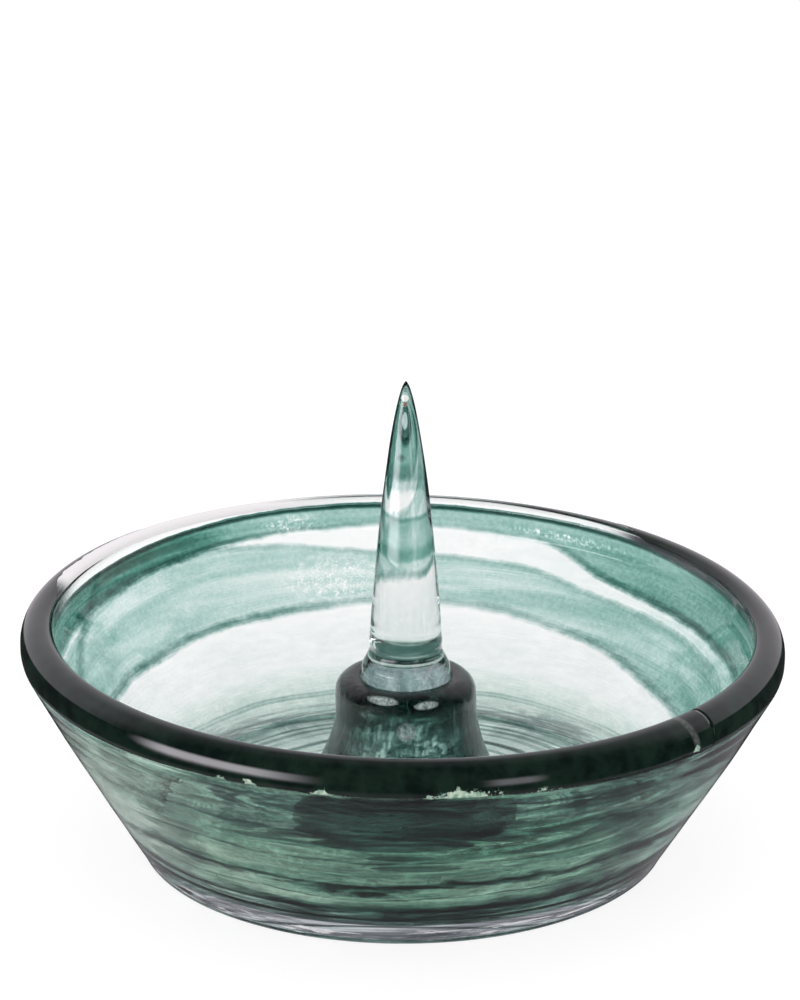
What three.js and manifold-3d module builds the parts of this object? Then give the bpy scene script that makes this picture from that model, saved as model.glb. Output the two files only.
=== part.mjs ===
// Spiked glass ash dish: a thick hand-blown bowl with a dark wrapped lip, and a pointed clear
// glass spike fused to a dark boss in the middle of its floor.
// Millimetres, +Z up, origin at the centre of the flat underside.
import * as THREE from 'three';
import { mergeVertices } from 'three/addons/utils/BufferGeometryUtils.js';
import Module from 'manifold-3d';

// ---- driving dimensions ----
const RIM_R = 63.5; // outside radius of the lip, a 127 mm (5 in) dish
const BOWL_H = 39; // height of the lip at the bowl's axis
const RIM_TILT = 0.02; // the hand-made rim drops this much per mm towards +X
const BASE_R = 44.3; // outside radius of the foot
const FOOT_ROUND = 0.6; // edge radius of the foot
const LIP_H = 5.8; // height of the wrapped lip
const LIP_W = 5.2; // width of the wrapped lip
const LIP_ROUND = 3.6; // radius of the lip's outer edge; its inner edge takes the rest of LIP_W
const LIP_PROUD = 0.25; // how far the lip stands out over the wall
const WALL = 4.2; // wall thickness, colour lining included
const LINING = 1; // thickness of the colour lining
const FLOOR = 5; // height of the inside floor
const FLOOR_ROUND = 7; // inside radius between the wall and the floor
const GAP = 0.3; // clearance between glass layers that touch

const BOSS_X = 0.45; // the boss and the spike stand this far to the right of the bowl's axis
const BOSS_H = 29; // top of the boss above the table
const BOSS_R = 11.8; // radius of the boss at its shoulder
const BOSS_ROUND = 3; // edge radius of the shoulder
const BOSS_FOOT_R = 19; // radius where the boss flares out onto the floor
const BOSS_FOOT_EDGE = 0.6; // thickness of the flare at its rim
const BOSS_NECK = 3.5; // height of the straight stretch between the flare and the shoulder
const BOSS_FLARE = 1.6; // how fast the flare dies away up the boss: 1 is a cone
const SEAT_R = 7.9; // recess in the boss that holds the spike's foot
const SEAT_DEPTH = 1.6;

const SPIKE_TOP = 80.6; // height of the tip above the table
const SPIKE_R = 6; // the spike is drawn from a 12 mm rod
const SPIKE_FOOT_R = 7.5; // radius of the foot pressed onto the boss
const SPIKE_FOOT_H = 4.6; // height of that foot
const SPIKE_FOOT_LEAN = 0.8; // how much narrower the foot is at its top
const SPIKE_NECK_R = 5.95; // pinch above the foot
const SPIKE_NECK_H = 1.9; // height of the pinch above the foot
const SPIKE_SHOULDER_H = 4; // height above the foot where the taper starts
const SPIKE_BELLY = 1.12; // the higher, the longer the spike keeps its full radius
const SPIKE_BLUNT = 0.62; // the lower, the rounder the tip

// Ends of the three lengths of the lip wrap, in degrees anticlockwise from +X.
const SEAM_ANGLE = -39;
const RIGHT_END_ANGLE = 53;
const LEFT_END_ANGLE = 140;

const BOWL_STEPS = 64; // facets round the bowl
const BOSS_STEPS = 36; // facets round the boss
const SPIKE_STEPS = 24; // facets round the spike

// ---- materials ----
function glass(color, roughness, opacity = 1) {
  return new THREE.MeshStandardMaterial({
    color, roughness, metalness: 0, opacity, transparent: opacity < 1,
  });
}
const clearGlass = glass(0xdfe8e4, 0.05, 0.45);
const tealGlass = glass(0x6ea698, 0.08, 0.7);
const bottleGreenGlass = glass(0x24453b, 0.08);
const blackGlass = glass(0x14191a, 0.06);

// ---- outline helpers: every outline is a list of [radius, height] ----
const wallTop = BOWL_H - LIP_H - GAP;
const wallTopR = RIM_R - LIP_PROUD;
const wallSlope = (wallTopR - BASE_R) / wallTop; // mm outwards per mm of height
const wallAngle = Math.atan(wallSlope);

/** Radius of a cone that lies `depth` mm inside the outer wall's face, at height z. */
function wallRadius(z, depth = 0) {
  return BASE_R + wallSlope * z - depth / Math.cos(wallAngle);
}

/** Points of a circular arc about (r, z), from angle a to angle b in degrees. */
function arc(r, z, radius, a, b, steps) {
  const points = [];
  for (let i = 0; i <= steps; i += 1) {
    const angle = THREE.MathUtils.degToRad(a + ((b - a) * i) / steps);
    points.push([r + radius * Math.cos(angle), z + radius * Math.sin(angle)]);
  }
  return points;
}

/** The inside of a dish: down the wall from `top`, round the corner, and in to the axis. */
function dishInside(depth, floor, round, top) {
  const wallDegrees = THREE.MathUtils.radToDeg(wallAngle);
  const cornerR = wallRadius(floor + round, depth + round);
  return [
    [wallRadius(top, depth), top],
    ...arc(cornerR, floor + round, round, -wallDegrees, -90, 6),
    [0, floor],
  ];
}

/** Revolves an outline about the Z axis. */
function revolve(outline, steps) {
  const points = outline.map(([r, z]) => new THREE.Vector2(r, z));
  const geometry = new THREE.LatheGeometry(points, steps);
  geometry.rotateX(Math.PI / 2);
  return geometry;
}

/** Tips the rim without moving the flat base: heights change with x, in proportion to height. */
function leanRim(geometry) {
  const position = geometry.attributes.position;
  for (let i = 0; i < position.count; i += 1) {
    const lift = 1 - (RIM_TILT * position.getX(i)) / BOWL_H;
    position.setZ(i, position.getZ(i) * lift);
  }
  return geometry;
}

// ---- booleans ----
const wasm = await Module();
wasm.setup();

/** A closed geometry as a manifold solid. */
function solidOf(geometry) {
  const bare = geometry.clone();
  bare.deleteAttribute('normal');
  bare.deleteAttribute('uv');
  const merged = mergeVertices(bare, 1e-4);
  return new wasm.Manifold(new wasm.Mesh({
    numProp: 3,
    vertProperties: new Float32Array(merged.attributes.position.array),
    triVerts: new Uint32Array(merged.index.array),
  }));
}

/** A manifold solid as a geometry. */
function geometryOf(solid) {
  const mesh = solid.getMesh();
  const geometry = new THREE.BufferGeometry();
  geometry.setAttribute('position', new THREE.BufferAttribute(mesh.vertProperties, 3));
  geometry.setIndex(new THREE.BufferAttribute(mesh.triVerts, 1));
  geometry.computeVertexNormals();
  return geometry;
}

// ---- the bowl ----
/** Clear outer gather: the wall and the thick flat foot. */
function bowlCasing() {
  const depth = WALL - LINING - GAP;
  const floor = FLOOR - LINING - GAP;
  const outline = [
    [0, 0],
    ...arc(BASE_R - FOOT_ROUND, FOOT_ROUND, FOOT_ROUND, -90, 0, 3),
    [wallRadius(wallTop / 2), wallTop / 2],
    [wallRadius(wallTop), wallTop],
    ...dishInside(depth, floor, FLOOR_ROUND + LINING + GAP, wallTop),
  ];
  return leanRim(revolve(outline, BOWL_STEPS));
}

/** Streaky teal layer that lines the casing, wall and floor. */
function colourLining() {
  const under = dishInside(WALL - LINING, FLOOR - LINING, FLOOR_ROUND + LINING, wallTop);
  const inside = dishInside(WALL, FLOOR, FLOOR_ROUND, wallTop);
  const outline = [...under.reverse(), ...inside];
  return leanRim(revolve(outline, BOWL_STEPS));
}

/** The whole lip as a ring, before it is cut into its lengths of wrap. */
function lipRing() {
  const bottom = BOWL_H - LIP_H;
  const innerRound = LIP_W - LIP_ROUND;
  const crestR = RIM_R - LIP_ROUND; // the two edge radii meet here, at the lip's highest line
  const footR = wallTopR + LIP_PROUD / 2;
  const outline = [
    [RIM_R - LIP_W, bottom],
    [footR, bottom],
    ...arc(crestR, BOWL_H - LIP_ROUND, LIP_ROUND, 0, 90, 6),
    ...arc(crestR, BOWL_H - innerRound, innerRound, 90, 180, 4).slice(1),
    [RIM_R - LIP_W, bottom],
  ];
  return leanRim(revolve(outline, BOWL_STEPS));
}

/** The length of lip wrap between two angles in degrees, short of each end by half a gap. */
function lipWrap(from, to) {
  const reach = RIM_R * 1.5;
  const halfGap = GAP / 2 / RIM_R;
  const start = THREE.MathUtils.degToRad(from) + halfGap;
  const end = THREE.MathUtils.degToRad(to) - halfGap;
  const sector = new THREE.Shape();
  sector.moveTo(0, 0);
  sector.absarc(0, 0, reach, start, end, false);
  sector.lineTo(0, 0);
  const wedge = new THREE.ExtrudeGeometry(sector, {
    depth: BOWL_H * 2, bevelEnabled: false, curveSegments: 8,
  });
  return geometryOf(solidOf(lipRing()).intersect(solidOf(wedge)));
}

// ---- the boss and the spike ----
/** Dark gather that carries the spike: a concave flare, a rounded shoulder and a shallow seat. */
function spikeBoss() {
  const bottom = FLOOR + GAP;
  const flareStart = bottom + BOSS_FOOT_EDGE;
  const shoulderZ = BOSS_H - BOSS_ROUND;
  const flareTop = shoulderZ - BOSS_NECK;
  const flareSteps = 8;
  const outline = [[0, bottom], [BOSS_FOOT_R, bottom]];
  for (let i = 0; i <= flareSteps; i += 1) {
    const t = i / flareSteps;
    const radius = BOSS_R + (BOSS_FOOT_R - BOSS_R) * (1 - t) ** BOSS_FLARE;
    outline.push([radius, flareStart + (flareTop - flareStart) * t]);
  }
  outline.push(...arc(BOSS_R - BOSS_ROUND, shoulderZ, BOSS_ROUND, 0, 90, 4));
  outline.push([SEAT_R, BOSS_H], [SEAT_R, BOSS_H - SEAT_DEPTH], [0, BOSS_H - SEAT_DEPTH]);
  return revolve(outline, BOSS_STEPS).translate(BOSS_X, 0, 0);
}

/** Clear spike: a pressed foot, a pinched neck, then a rod drawn out to a point. */
function spike() {
  const bottom = BOSS_H - SEAT_DEPTH + GAP;
  const footTop = bottom + SPIKE_FOOT_H;
  const neckZ = footTop + SPIKE_NECK_H;
  const taperStart = footTop + SPIKE_SHOULDER_H;
  const taperSteps = 14;
  const outline = [
    [0, bottom],
    [SPIKE_FOOT_R, bottom],
    [SPIKE_FOOT_R - SPIKE_FOOT_LEAN / 4, bottom + SPIKE_FOOT_H / 2],
    [SPIKE_FOOT_R - SPIKE_FOOT_LEAN, footTop],
    [SPIKE_NECK_R, neckZ],
  ];
  for (let i = 0; i <= taperSteps; i += 1) {
    const t = 1 - (1 - i / taperSteps) ** 1.5; // steps grow shorter towards the tip
    const radius = SPIKE_R * (1 - t ** SPIKE_BELLY) ** SPIKE_BLUNT;
    outline.push([radius, taperStart + (SPIKE_TOP - taperStart) * t]);
  }
  return revolve(outline, SPIKE_STEPS).translate(BOSS_X, 0, 0);
}

// ---- assembly ----
const dish = new THREE.Group();
dish.name = 'spiked_ash_dish';

function addPiece(name, geometry, material) {
  const mesh = new THREE.Mesh(geometry, material);
  mesh.name = name;
  dish.add(mesh);
}

addPiece('bowl_casing', bowlCasing(), clearGlass);
addPiece('colour_lining', colourLining(), tealGlass);
addPiece('lip_wrap_front', lipWrap(LEFT_END_ANGLE, SEAM_ANGLE + 360), blackGlass);
addPiece('lip_wrap_right', lipWrap(SEAM_ANGLE, RIGHT_END_ANGLE), blackGlass);
addPiece('lip_wrap_back', lipWrap(RIGHT_END_ANGLE, LEFT_END_ANGLE), clearGlass);
addPiece('spike_boss', spikeBoss(), bottleGreenGlass);
addPiece('spike', spike(), clearGlass);

export default dish;
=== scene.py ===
"""A spiked glass ash dish: clear hand-blown bowl with a streaky teal lining, a dark wrapped lip,
a bottle-green boss and a pointed clear spike.

The layers of glass are fused on the real dish. Here each one is a closed solid of its own. Where
two of them meet, both faces carry a join material, which lets light straight through, so the
layers bend light together as one piece of glass.
"""
import math

import bpy
import numpy as np
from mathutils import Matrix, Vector, noise


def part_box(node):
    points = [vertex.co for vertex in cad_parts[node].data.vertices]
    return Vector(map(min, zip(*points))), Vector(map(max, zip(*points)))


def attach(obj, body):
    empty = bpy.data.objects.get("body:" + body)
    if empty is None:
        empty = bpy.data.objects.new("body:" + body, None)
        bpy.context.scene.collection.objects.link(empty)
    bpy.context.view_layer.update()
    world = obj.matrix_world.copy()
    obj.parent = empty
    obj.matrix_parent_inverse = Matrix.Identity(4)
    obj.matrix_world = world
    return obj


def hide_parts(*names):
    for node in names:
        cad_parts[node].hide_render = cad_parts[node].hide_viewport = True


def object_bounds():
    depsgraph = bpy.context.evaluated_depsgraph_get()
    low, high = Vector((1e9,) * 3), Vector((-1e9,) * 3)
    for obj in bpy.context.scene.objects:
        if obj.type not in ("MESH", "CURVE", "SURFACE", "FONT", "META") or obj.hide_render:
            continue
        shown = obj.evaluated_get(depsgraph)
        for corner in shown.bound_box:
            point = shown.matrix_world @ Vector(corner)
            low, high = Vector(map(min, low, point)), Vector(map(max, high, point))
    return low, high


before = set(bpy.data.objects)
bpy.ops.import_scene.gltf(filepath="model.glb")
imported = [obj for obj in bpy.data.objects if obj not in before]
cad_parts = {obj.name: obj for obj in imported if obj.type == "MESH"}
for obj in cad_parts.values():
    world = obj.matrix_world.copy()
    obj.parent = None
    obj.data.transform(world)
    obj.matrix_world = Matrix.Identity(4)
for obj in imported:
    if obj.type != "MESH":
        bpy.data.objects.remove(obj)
CAD_BOX = [list(corner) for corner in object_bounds()]

MM = 0.001

# ---- sizes in millimetres, the same design as the CAD frame ----
LOW, HIGH = (Vector(corner) / MM for corner in CAD_BOX)
RIM_R = (HIGH.x - LOW.x) / 2
SPIKE_TOP = HIGH.z
BOSS_LOW, BOSS_HIGH = (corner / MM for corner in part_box("spike_boss"))
BOSS_H = BOSS_HIGH.z
BOSS_X = (BOSS_HIGH.x + BOSS_LOW.x) / 2
BOSS_FOOT_R = (BOSS_HIGH.x - BOSS_LOW.x) / 2
SPIKE_LOW, SPIKE_HIGH = (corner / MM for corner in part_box("spike"))
SPIKE_BOTTOM = SPIKE_LOW.z
SPIKE_FOOT_R = (SPIKE_HIGH.x - SPIKE_LOW.x) / 2

BOWL_H = 39.0  # height of the lip on the bowl's axis
RIM_TILT = 0.02  # drop of the rim per mm towards +X
BASE_R = 44.3
FOOT_ROUND = 0.6
WALL = 4.2
LINING = 1.0
FLOOR = 5.0
FLOOR_ROUND = 7.0
LIP_W = 5.2
LIP_H = 5.8
LIP_ROUND = 3.6  # radius of the lip's outer edge
LIP_PROUD = 0.25
WALL_BULGE = 0.35  # the outer wall is this much convex

BOSS_R = 11.8
BOSS_ROUND = 3.0
BOSS_NECK = 3.5  # straight part between the flare and the shoulder
BOSS_FLARE = 1.6  # power of the flare's curve: 1 is a cone
SEAT_Z = SPIKE_BOTTOM
SEAT_ROUND = 0.5
SPIKE_R = 6.0
SPIKE_FOOT_H = 4.6
SPIKE_NECK_H = 4.0
SPIKE_BLUNT = 0.62  # power of the taper's curve: less is blunter
JOIN_GAP = 0.02  # between the faces of two pieces that are fused
LINING_GAP = 0.04  # between the lining and the casing's wall
LINING_FLOOR_GAP = 0.05  # between the lining and the casing's floor

LIP_BASE_Z = BOWL_H - LIP_H
WALL_TOP_R = RIM_R - LIP_PROUD
WALL_SLOPE = (WALL_TOP_R - BASE_R) / LIP_BASE_Z
WALL_ANGLE = math.atan(WALL_SLOPE)
LIP_INNER_ROUND = LIP_W - LIP_ROUND
LIP_CREST_R = RIM_R - LIP_ROUND
LIP_THROAT_Z = BOWL_H - LIP_INNER_ROUND
LINING_TOP_ANGLE = 154.0  # the lining ends here on the lip's inner edge radius
COLOUR_START_Z = 36.4  # the colour's layout is measured down the inside from here

# The two dark skins of the lip wrap, in degrees anticlockwise from +X.
SEAM = -39.0
SEAM_GAP = 0.1  # each skin stops this much short of the seam
RIGHT_WRAP_END = 56.5
FRONT_WRAP_START = 134.0
WRAP_PROUD = 0.10  # how far a skin stands out of the lip
WRAP_SUNK = 0.55  # how far it reaches into the lip
WRAP_STEP = 0.45  # degrees between its sections
WRAP_ACROSS = 30  # points across each face of a section

BOWL_TURNS = 288  # facets round the bowl
ROD_TURNS = 96  # facets round the boss and the spike
WALL_STEPS = 60  # facets down the wall

# Hand-made unevenness, in mm.
BOWL_WAVE = 0.16
BOWL_CORD = 0.035
BOSS_WAVE = 0.25
SPIKE_WAVE = 0.08

GLASS_IOR = 1.5


# ---- outlines ----
def line(a, b, steps):
    """Points from a (left out) to b (kept)."""
    return [
        (a[0] + (b[0] - a[0]) * i / steps, a[1] + (b[1] - a[1]) * i / steps)
        for i in range(1, steps + 1)
    ]


def arc(centre, radius, start, end, steps):
    """Points round a centre, from one angle in degrees to another, both ends kept."""
    points = []
    for i in range(steps + 1):
        a = math.radians(start + (end - start) * i / steps)
        points.append((centre[0] + radius * math.cos(a), centre[1] + radius * math.sin(a)))
    return points


def wall_radius(z, depth=0.0):
    """Radius of a cone that lies `depth` inside the outer wall's face, at height z."""
    return BASE_R + WALL_SLOPE * z - depth / math.cos(WALL_ANGLE)


def dish_inside(depth, floor, round_r, drop=0.0):
    """A face inside the dish, `depth` in from the outer wall, from the lining's top edge down to
    the floor's outer edge. `drop` lowers its first point."""
    inset = WALL - depth
    throat = (LIP_CREST_R + inset, LIP_THROAT_Z)
    edge = arc(throat, LIP_INNER_ROUND, LINING_TOP_ANGLE, 180, 5)
    edge[0] = (edge[0][0], edge[0][1] - drop)
    tilt = math.degrees(WALL_ANGLE)
    corner = (wall_radius(floor + round_r, depth + round_r), floor + round_r)
    bend = arc(corner, round_r, -tilt, -90, 16)
    lip_foot = (wall_radius(LIP_BASE_Z, depth), LIP_BASE_Z)
    return edge + line(edge[-1], lip_foot, 6) + line(lip_foot, bend[0], WALL_STEPS) + bend[1:]


def smooth(a, b, t):
    """0 where t is at a, 1 where it is at b, eased at both ends."""
    t = max(0.0, min(1.0, (t - a) / (b - a)))
    return t * t * (3 - 2 * t)


# ---- hand-made unevenness ----
def ring_noise(theta, z, around, up, seed):
    """Noise that closes on itself round the dish: `around` sets its length, `up` its height."""
    return noise.noise(Vector((
        around * math.cos(theta) + seed, around * math.sin(theta) - seed, up * z + 3 * seed,
    )))


def lean(x, y, z):
    """Tips the rim without moving the flat base."""
    return x, y, z * (1 - RIM_TILT * x / BOWL_H)


def bowl_warp(seed):
    """A warp for the bowl: slow waves and short horizontal cords, which leave the foot true. The
    middle of the floor follows the boss off the bowl's axis."""
    def warp(r, z, theta):
        rise = smooth(1.5, 9, z)
        wave = ring_noise(theta, z, 1.3, 0.10, seed) * BOWL_WAVE
        cord = ring_noise(theta, z, 1.6, 0.55, seed + 5) * BOWL_CORD
        r += (wave + cord) * rise
        shift = BOSS_X * smooth(32, 20, r)
        return lean(r * math.cos(theta) + shift, r * math.sin(theta), z)
    return warp


def rod_warp(seed, amount):
    """A warp for the boss or the spike: slow waves, and a move to the boss's axis."""
    def warp(r, z, theta):
        fade = smooth(0, 3, r)
        r += ring_noise(theta, z, 1.2, 0.12, seed) * amount * fade
        return BOSS_X + r * math.cos(theta), r * math.sin(theta), z
    return warp


# ---- mesh making ----
ON_AXIS = 1e-6  # a point nearer the axis than this lies on it


def mesh_object(name, vertices, faces, materials, material_ids, sharp=()):
    """A smooth-shaded piece from vertices in mm. `sharp` lists its hard edges."""
    mesh = bpy.data.meshes.new(name)
    mesh.from_pydata([Vector(v) * MM for v in vertices], [], faces)
    for material in materials:
        mesh.materials.append(material)
    mesh.polygons.foreach_set("material_index", material_ids)
    mesh.polygons.foreach_set("use_smooth", [True] * len(mesh.polygons))
    if sharp:
        wanted = {tuple(sorted(edge)) for edge in sharp}
        flags = [tuple(sorted(e.vertices)) in wanted for e in mesh.edges]
        mesh.edges.foreach_set("use_edge_sharp", flags)
    mesh.validate()
    mesh.update()
    piece = bpy.data.objects.new(name, mesh)
    bpy.context.scene.collection.objects.link(piece)
    return piece


def revolve(name, sections, turns, warp, materials):
    """Revolves sections of outline, each (points, material number, sharp start), into a solid.
    The outline runs from axis to axis, or closes on itself. It keeps the solid on its left."""
    outline = []
    kinds = []
    creases = []
    for points, kind, crease in sections:
        if crease and outline:
            creases.append(len(outline) - 1)
        for point in points:
            outline.append(point)
            kinds.append(kind)
    closed = outline[0][0] > ON_AXIS
    vertices = []
    rings = []
    for r, z in outline:
        if r < ON_AXIS:
            rings.append([len(vertices)] * turns)
            vertices.append(warp(0.0, z, 0.0))
            continue
        rings.append(list(range(len(vertices), len(vertices) + turns)))
        for k in range(turns):
            vertices.append(warp(r, z, 2 * math.pi * k / turns))
    faces = []
    ids = []
    sharp = []
    for i in range(len(outline) if closed else len(outline) - 1):
        j = (i + 1) % len(outline)
        for k in range(turns):
            m = (k + 1) % turns
            corners = [rings[i][k], rings[i][m], rings[j][m], rings[j][k]]
            corners = [c for n, c in enumerate(corners) if c not in corners[:n]]
            if len(corners) > 2:
                faces.append(corners)
                ids.append(kinds[j])
    for i in creases:
        sharp += [(rings[i][k], rings[i][(k + 1) % turns]) for k in range(turns)]
    return mesh_object(name, vertices, faces, materials, ids, sharp)


# ---- material helpers ----
class Nodes:
    """Short names for building the node tree of a material or a world."""

    def __init__(self, owner, output="OutputMaterial"):
        owner.use_nodes = True
        self.owner = owner
        self.tree = owner.node_tree
        self.tree.nodes.clear()
        self.output = self.node(output)

    def node(self, kind, **settings):
        made = self.tree.nodes.new("ShaderNode" + kind)
        for key, value in settings.items():
            setattr(made, key, value)
        return made

    def put(self, socket, value):
        """Links the socket to another one, or sets it to a plain value."""
        if isinstance(value, bpy.types.NodeSocket):
            self.tree.links.new(value, socket)
        else:
            socket.default_value = value

    def show(self, shader):
        self.put(self.output.inputs["Surface"], shader.outputs[0])

    def math(self, operation, a, b=0.0, c=0.0, clamp=False):
        made = self.node("Math", operation=operation, use_clamp=clamp)
        for socket, value in zip(made.inputs, (a, b, c)):
            self.put(socket, value)
        return made.outputs[0]

    def times(self, first, *others):
        for other in others:
            first = self.math("MULTIPLY", first, other)
        return first

    def plus(self, first, *others):
        for other in others:
            first = self.math("ADD", first, other)
        return first

    def minus(self, a, b):
        return self.math("SUBTRACT", a, b)

    def over(self, a, b):
        return self.math("DIVIDE", a, b)

    def scaled(self, value, factor, offset):
        """value * factor + offset"""
        return self.math("MULTIPLY_ADD", value, factor, offset)

    def squares(self, a, b):
        """The sum of two squares."""
        return self.plus(self.times(a, a), self.times(b, b))

    def noise(self, vector, scale, detail=2.0, rough=0.5, distort=0.0):
        made = self.node("TexNoise")
        self.put(made.inputs["Vector"], vector)
        self.put(made.inputs["Scale"], scale)
        self.put(made.inputs["Detail"], detail)
        self.put(made.inputs["Roughness"], rough)
        self.put(made.inputs["Distortion"], distort)
        return made.outputs["Fac"]

    def ramp(self, value, low, high, out_low=0.0, out_high=1.0, smoothly=True):
        """out_low up to low, out_high from high on, and a blend between them."""
        made = self.node("MapRange", interpolation_type="SMOOTHSTEP" if smoothly else "LINEAR")
        for key, number in (("From Min", low), ("From Max", high),
                            ("To Min", out_low), ("To Max", out_high)):
            self.put(made.inputs[key], number)
        self.put(made.inputs["Value"], value)
        return made.outputs["Result"]

    def straight(self, value, low, high, out_low, out_high):
        """A ramp without easing."""
        return self.ramp(value, low, high, out_low, out_high, smoothly=False)

    def mixed(self, factor, a, b):
        """a where factor is 0, b where it is 1."""
        span = b - a if isinstance(a, float) and isinstance(b, float) else self.minus(b, a)
        return self.plus(a, self.times(factor, span))

    def tinted(self, factor, colour, target):
        """The three parts of a colour, each mixed towards the target's."""
        return [self.mixed(factor, a, b) for a, b in zip(colour, target)]

    def join(self, x, y, z):
        made = self.node("CombineXYZ")
        for socket, value in zip(made.inputs, (x, y, z)):
            self.put(socket, value)
        return made.outputs[0]

    def stretched(self, x, y, z, across, up):
        """The place with its plan scaled by `across` and its height by `up`."""
        return self.join(self.times(x, across), self.times(y, across), self.times(z, up))

    def position(self):
        """The point in millimetres, then its x, y and z."""
        place = self.node("TexCoord").outputs["Object"]
        scaled = self.node("VectorMath", operation="SCALE")
        self.put(scaled.inputs[0], place)
        scaled.inputs["Scale"].default_value = 1 / MM
        parts = self.node("SeparateXYZ")
        self.put(parts.inputs[0], scaled.outputs[0])
        return scaled.outputs[0], parts.outputs[0], parts.outputs[1], parts.outputs[2]

    def distance(self, place, centre):
        made = self.node("VectorMath", operation="DISTANCE")
        self.put(made.inputs[0], place)
        made.inputs[1].default_value = centre
        return made.outputs["Value"]

    def curve(self, value, points, low, high):
        """A smooth curve through (x, y) points, x in 0..1, y between low and high."""
        made = self.node("FloatCurve")
        curve = made.mapping.curves[0]
        ordered = sorted(points)
        curve.points[0].location = (ordered[0][0], (ordered[0][1] - low) / (high - low))
        curve.points[1].location = (ordered[-1][0], (ordered[-1][1] - low) / (high - low))
        for x, y in ordered[1:-1]:
            curve.points.new(x, (y - low) / (high - low))
        made.mapping.use_clip = False
        made.mapping.update()
        self.put(made.inputs["Value"], value)
        return self.scaled(made.outputs[0], high - low, low)

    def colour(self, r, g, b):
        made = self.node("CombineColor")
        for socket, value in zip(made.inputs, (r, g, b)):
            self.put(socket, value)
        return made.outputs[0]

    def glass(self, colour, roughness=0.0, transmission=1.0):
        """Shows glass of a colour given as its three parts."""
        shader = self.node("BsdfPrincipled")
        self.put(shader.inputs["Base Color"], self.colour(*colour))
        self.put(shader.inputs["Roughness"], roughness)
        self.put(shader.inputs["IOR"], GLASS_IOR)
        self.put(shader.inputs["Transmission Weight"], transmission)
        self.show(shader)
        return shader


def new_material(name):
    return Nodes(bpy.data.materials.new(name))


def wound_noise(n, theta, along, cells, stretch, detail, rough, distort=0.0):
    """Noise that closes on itself round the dish: `cells` sets its grain round the circle, and
    `stretch` its grain per mm of `along`."""
    spot = n.stretched(n.math("COSINE", theta), n.math("SINE", theta), along, cells, stretch)
    return n.noise(spot, 1.0, detail, rough, distort)


def upright(n, x, z):
    """The height that a point has before the rim leans."""
    return n.over(z, n.scaled(x, -RIM_TILT / BOWL_H, 1.0))


# ---- how the colour lies in the glass ----
# The lining's colour is laid out by degrees round from +X and mm down the inside from the lip.
# A top band hangs from the lip, and a second one winds round below it. These are the line where
# the colour starts, then the edges of the two bands.
TOP_LINE = [(-180, 1.0), (-90, 1.0), (0, 0.3), (30, -0.4), (50, -1.3), (60, -1.4), (110, -1.5),
            (135, -0.6), (150, 0.3), (180, 1.0)]
# Density of the dark glass that the lip wrap has left above the top line.
DARK_ABOVE = [(-180, 3), (-90, 3), (0, 3), (40, 3), (47, 2), (54, 0), (100, 0), (160, 0), (170, 2.5),
              (180, 3)]
TOP_BAND_END = [
    (-180, 7), (-150, 8), (-90, 9), (-40, 11), (-15, 10.5), (3, 9.8), (15, 9.9), (27, 9.4), (40, 8.9),
    (50, 7.9), (58, 5.8), (66, 3.8), (80, 3), (95, 2.6), (105, 3.2), (125, 4), (145, 5.2), (165, 6),
    (180, 7),
]
SECOND_BAND_START = [
    (-180, 9), (-90, 13), (-20, 14), (0, 14), (20, 13), (35, 12), (45, 11.8), (55, 11), (66, 9.4),
    (80, 8.6), (100, 7.6), (118, 5.6), (130, 4.8), (150, 6), (165, 8), (180, 9),
]
SECOND_BAND_END = [
    (-180, 21), (-90, 27), (-40, 28), (0, 26), (15, 23.7), (30, 22.3), (45, 20), (60, 18.2),
    (80, 16.7), (95, 16.6), (110, 17.3), (125, 17.5), (140, 18.6), (155, 19.4), (180, 21),
]
# How strong each is, by degrees: the density of its body and of its dark edge.
TOP_BODY = [(-180, 2.8), (-40, 2.3), (0, 2.5), (30, 2.15), (55, 1.5), (75, 1.05), (100, 0.95),
            (120, 1.4), (138, 3.0), (168, 3.0), (180, 2.8)]
TOP_EDGE = [(-180, 0.9), (-40, 1.4), (0, 2.5), (45, 2.0), (62, 1.0), (80, 0.5), (100, 0.6),
            (140, 2.1), (180, 1.4)]
SECOND_BODY = [(-180, 1.0), (-20, 1.2), (5, 1.15), (30, 0.85), (60, 0.75), (90, 0.65), (115, 0.55),
               (150, 0.45), (180, 0.7)]
SECOND_EDGE = [(-180, 1.2), (0, 1.3), (45, 1.2), (70, 0.7), (90, 0.6), (115, 1.2), (150, 1.5),
               (180, 1.2)]
# Density of the glass between the two bands.
BETWEEN_BODY = [(-180, 0.7), (-30, 1.0), (0, 0.85), (20, 0.58), (35, 0.36), (50, 0.18), (65, 0.1),
                (110, 0.06), (135, 0.35), (180, 0.6)]
# Where a streak that crosses the bands on the left lies, in mm down.
DIAGONAL = [(-180, 14.5), (-170, 16), (150, 2.5), (158, 5.5), (166, 8.5), (174, 12), (180, 14.5)]
# Density by mm down the inside: teal, then neutral smoke. The front wall's own layout, then the
# corner and the floor all round.
FRONT_TEAL = [(0, 1.6), (4, 1.4), (7.5, 1.4), (10.5, 1.1), (14.5, 1.3), (21, 1.2), (25.5, 1.2),
              (26.8, 1.8), (28, 1.15), (30.5, 1.1), (32, 1.25), (33.2, 1.7), (36.5, 1.6), (38.5, 1.0),
              (41, 0.6), (60, 0.5)]
FRONT_SMOKE = [(0, 1.2), (4, 1.3), (7.5, 1.4), (10.5, 0.7), (14.5, 1.1), (21, 0.4), (25.5, 0.5),
               (26.8, 2.1), (28, 0.4), (30.5, 0.22), (32, 0.5), (33.2, 1.5), (36.5, 1.6), (38.5, 0.7),
               (41, 0.1), (60, 0.1)]
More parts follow.
